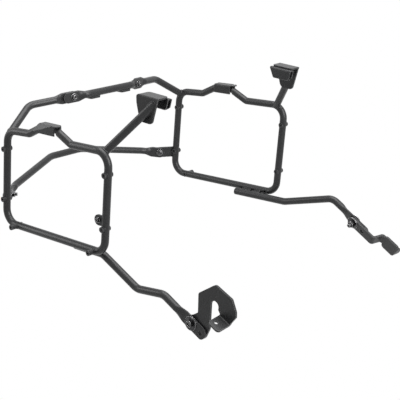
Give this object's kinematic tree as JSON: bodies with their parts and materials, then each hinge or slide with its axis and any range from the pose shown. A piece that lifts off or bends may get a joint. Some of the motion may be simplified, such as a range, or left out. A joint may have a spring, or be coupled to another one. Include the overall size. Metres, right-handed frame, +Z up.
{
  "type": "pannier frame",
  "caption": "Tubular steel frame that holds a motorbike's side panniers, with hoops joined by bolted bridges and carried by bracketed struts and arms.",
  "frame": {"origin": "midway between the holes of the two tail tabs, on the tabs' underside", "axes": "+X forward, the way the motorbike rides; +Y to the left; +Z up"},
  "size_m": [0.8474, 0.6818, 0.4923],
  "materials": {
    "coated_steel": "satin powder coat",
    "fastener": "dark plated"
  },
  "bodies": {
    "root": {"arm_bolts": "fastener", "arm_nuts": "fastener", "arm_washers": "fastener", "bridge_bolts": "fastener", "bridge_nuts": "fastener", "bridge_washers": "fastener", "left_arm_spacers": "coated_steel", "left_bosses": "coated_steel", "left_bridge_lug": "coated_steel", "left_clamp_sleeve": "coated_steel", "left_foot_bracket": "coated_steel", "left_hoop_tube": "coated_steel", "left_latch_plate": "coated_steel", "left_lower_arm": "coated_steel", "left_upper_bracket": "coated_steel", "left_upper_strut": "coated_steel", "left_upper_stub": "coated_steel", "lower_bridge": "coated_steel", "right_arm_spacers": "coated_steel", "right_bosses": "coated_steel", "right_bridge_lug": "coated_steel", "right_clamp_sleeve": "coated_steel", "right_hook_bracket": "coated_steel", "right_hoop_tube": "coated_steel", "right_latch_plate": "coated_steel", "right_lower_arm": "coated_steel", "right_side_tab": "coated_steel", "right_upper_bracket": "coated_steel", "right_upper_strut": "coated_steel", "right_upper_stub": "coated_steel", "side_tab_bolt": "fastener", "side_tab_nut": "fastener", "side_tab_washers": "fastener", "tail_tabs": "coated_steel", "upper_bridge": "coated_steel"}
  },
  "joints": []
}
